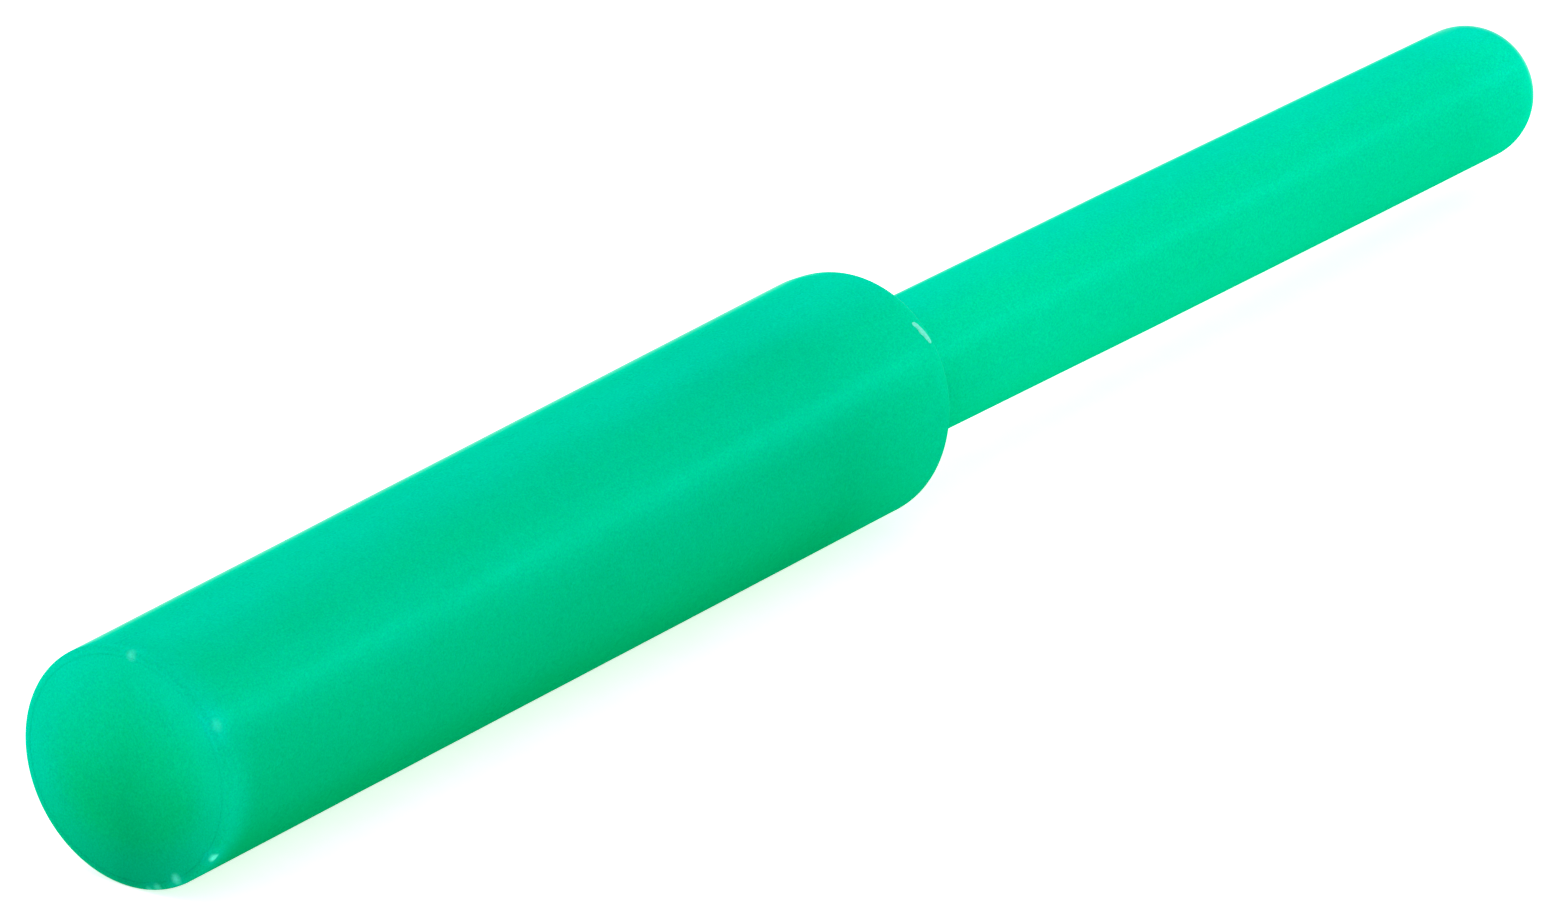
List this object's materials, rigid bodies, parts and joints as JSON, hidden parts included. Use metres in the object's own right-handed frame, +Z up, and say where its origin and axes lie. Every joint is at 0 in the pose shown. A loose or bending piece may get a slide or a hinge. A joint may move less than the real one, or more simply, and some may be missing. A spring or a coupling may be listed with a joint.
{
  "type": "chemical light stick for a laryngoscope",
  "caption": "Sealed translucent plastic light stick with a fat barrel, a thin round-ended stem, a welded end plug, and a floating glass ampoule inside.",
  "frame": {"origin": "centre of the flat base face at the fat end", "axes": "+X along the barrel's axis from the base face to the stem's end; +Z up with the stick lying on its side"},
  "size_m": [0.0762, 0.0084, 0.0084],
  "materials": {
    "barrel_plastic": "satin",
    "stem_plastic": "satin",
    "plug_plastic": "satin",
    "ampoule_glass": "gloss",
    "activator": "gloss",
    "dye": "gloss"
  },
  "bodies": {
    "shell": {"barrel_tube": "barrel_plastic", "stem_tube": "stem_plastic", "end_plug": "plug_plastic", "dye_solution": "dye"},
    "ampoule": {"glass_ampoule": "ampoule_glass", "activator_liquid": "activator"}
  },
  "joints": [
    {"name": "ampoule_float", "type": "slide", "parent": "shell", "child": "ampoule", "axis": [1, 0, 0], "range_m": [-0.001, 0.0015]}
  ]
}
